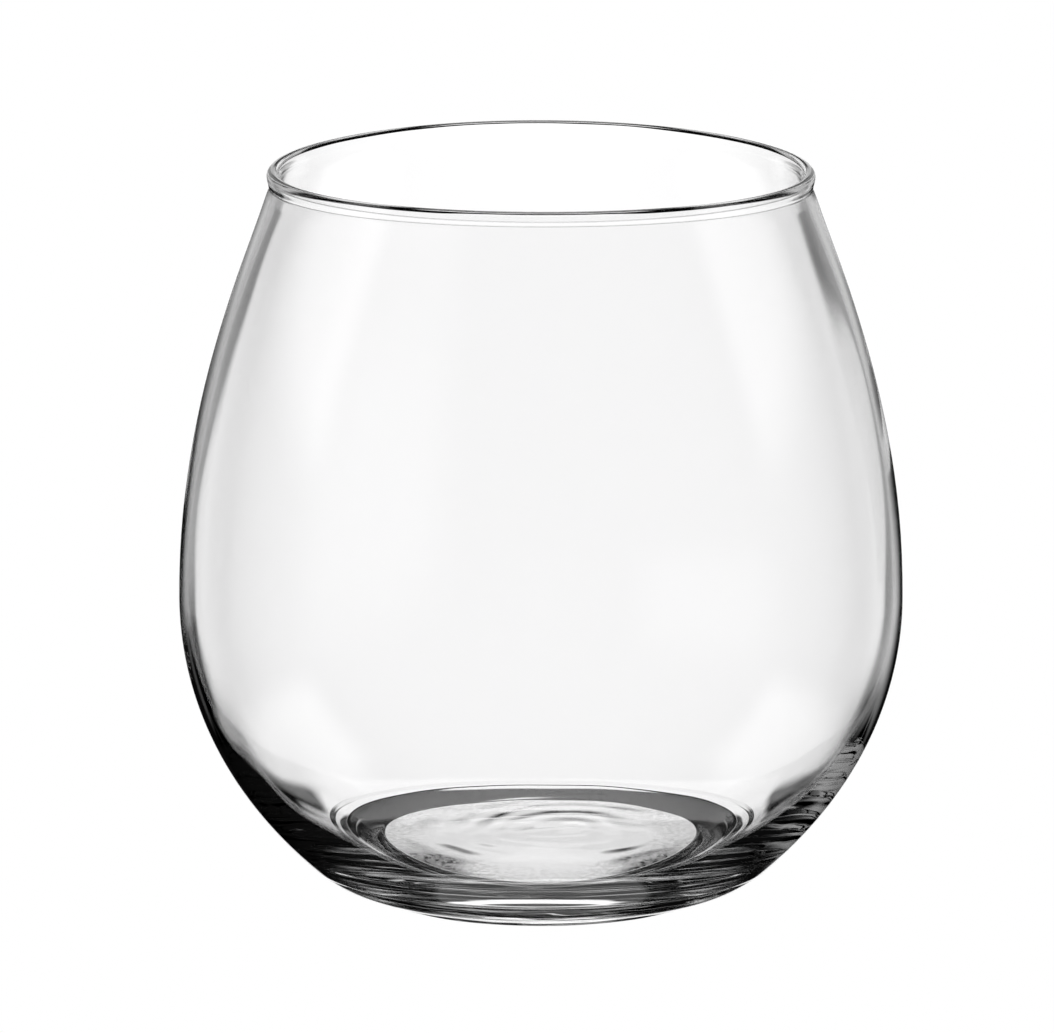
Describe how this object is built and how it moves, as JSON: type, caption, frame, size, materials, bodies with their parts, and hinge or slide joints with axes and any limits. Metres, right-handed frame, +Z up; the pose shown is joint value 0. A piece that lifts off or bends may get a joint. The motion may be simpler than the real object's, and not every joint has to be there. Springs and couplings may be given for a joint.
{
  "type": "stemless wine glass",
  "caption": "Clear stemless wine glass: a rounded bowl that narrows to a beaded rim, on a thick solid base with a shallow hollow beneath.",
  "frame": {"origin": "centre of the ring that the glass stands on, at table level", "axes": "+Z up along the glass's axis of revolution, towards the rim; X and Y are free"},
  "size_m": [0.096, 0.096, 0.098],
  "materials": {
    "clear_glass": "fire-polished, clear and colourless"
  },
  "bodies": {
    "root": {"stemless_glass": "clear_glass"}
  },
  "joints": []
}
